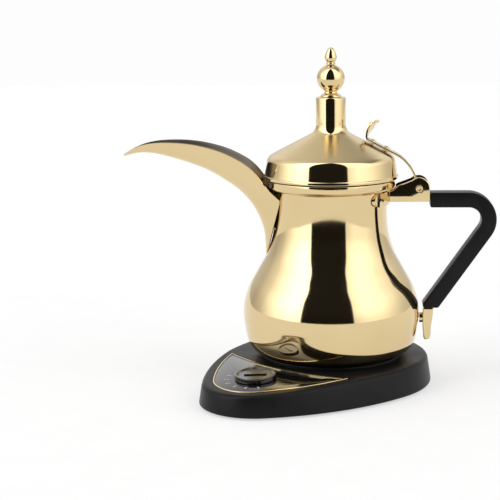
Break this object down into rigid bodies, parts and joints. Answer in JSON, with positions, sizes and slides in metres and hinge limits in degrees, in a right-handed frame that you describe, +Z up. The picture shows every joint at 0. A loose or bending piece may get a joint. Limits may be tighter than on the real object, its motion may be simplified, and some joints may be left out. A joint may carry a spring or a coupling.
{
  "type": "electric dallah coffee pot",
  "caption": "Polished gold Arabic coffee pot with a beak spout, hinged lid and black bent grip, resting on a black heating base with a rotary selector.",
  "frame": {"origin": "on the table under the middle of the whole object's box", "axes": "+X from the spout's tip to the handle, +Z up; the pot's own axis is at x 15.05 mm, y 15.5 mm"},
  "size_m": [0.2558, 0.1701, 0.2318],
  "materials": {
    "gold": "mirror-polished champagne-gold plating on stainless steel",
    "steel": "plain stainless",
    "aluminium": "cast, matt",
    "contact_brass": "turned",
    "grip_black": "satin moulded",
    "housing_black": "satin, finely textured",
    "panel_gloss": "high gloss",
    "inner_plastic": "moulded, matt",
    "rubber": "matt",
    "silicone": "satin",
    "board_green": "solder mask"
  },
  "bodies": {
    "base": {"base_housing": "housing_black", "base_plate": "inner_plastic", "base_foot_1": "rubber", "base_foot_2": "rubber", "base_foot_3": "rubber", "base_foot_4": "rubber", "base_screw_1": "steel", "base_screw_2": "steel", "base_screw_3": "steel", "base_screw_4": "steel", "power_post": "inner_plastic", "post_centre_pin": "contact_brass", "post_ring_contact": "contact_brass", "control_panel": "panel_gloss", "panel_trim": "gold", "selector_switch": "inner_plastic", "control_board": "board_green", "board_screw_1": "steel", "board_screw_2": "steel", "cord_gland": "rubber"},
    "knob": {"selector_knob": "panel_gloss", "knob_shaft": "contact_brass"},
    "connector": {"pot_connector": "inner_plastic"},
    "pot": {"pot_body": "gold", "pot_floor": "steel", "spout": "gold", "heater_plate": "aluminium", "heating_element": "steel", "thermal_cutout": "inner_plastic", "bottom_cover": "housing_black", "cover_screw_1": "steel", "cover_screw_2": "steel", "cover_screw_3": "steel", "hinge_bracket": "gold", "hinge_pin": "gold", "handle_grip": "grip_black", "handle_foot": "gold", "handle_stud": "steel", "grip_screw": "steel"},
    "lid": {"lid_shell": "gold", "lid_liner": "steel", "lid_gasket": "silicone", "finial_ball": "gold", "finial_tip": "gold", "finial_stud": "steel", "finial_nut": "steel", "lid_strap": "gold", "strap_rivet_1": "gold", "strap_rivet_2": "gold"}
  },
  "joints": [
    {"name": "pot_lift", "type": "slide", "parent": "base", "child": "connector", "axis": [0, 0, 1], "range_m": [0, 0.08]},
    {"name": "pot_turn", "type": "hinge", "parent": "connector", "child": "pot", "pos_m": [0.01505, 0.01552, 0.024], "axis": [0, 0, 1], "continuous": true},
    {"name": "lid_open", "type": "hinge", "parent": "pot", "child": "lid", "pos_m": [0.07505, 0.01552, 0.1367], "axis": [0, 1, 0], "range_deg": [0, 100]},
    {"name": "knob_turn", "type": "hinge", "parent": "base", "child": "knob", "pos_m": [-0.03416, -0.04746, 0.0176], "axis": [-0.0388, -0.0497, 0.998], "range_deg": [0, 180]}
  ]
}
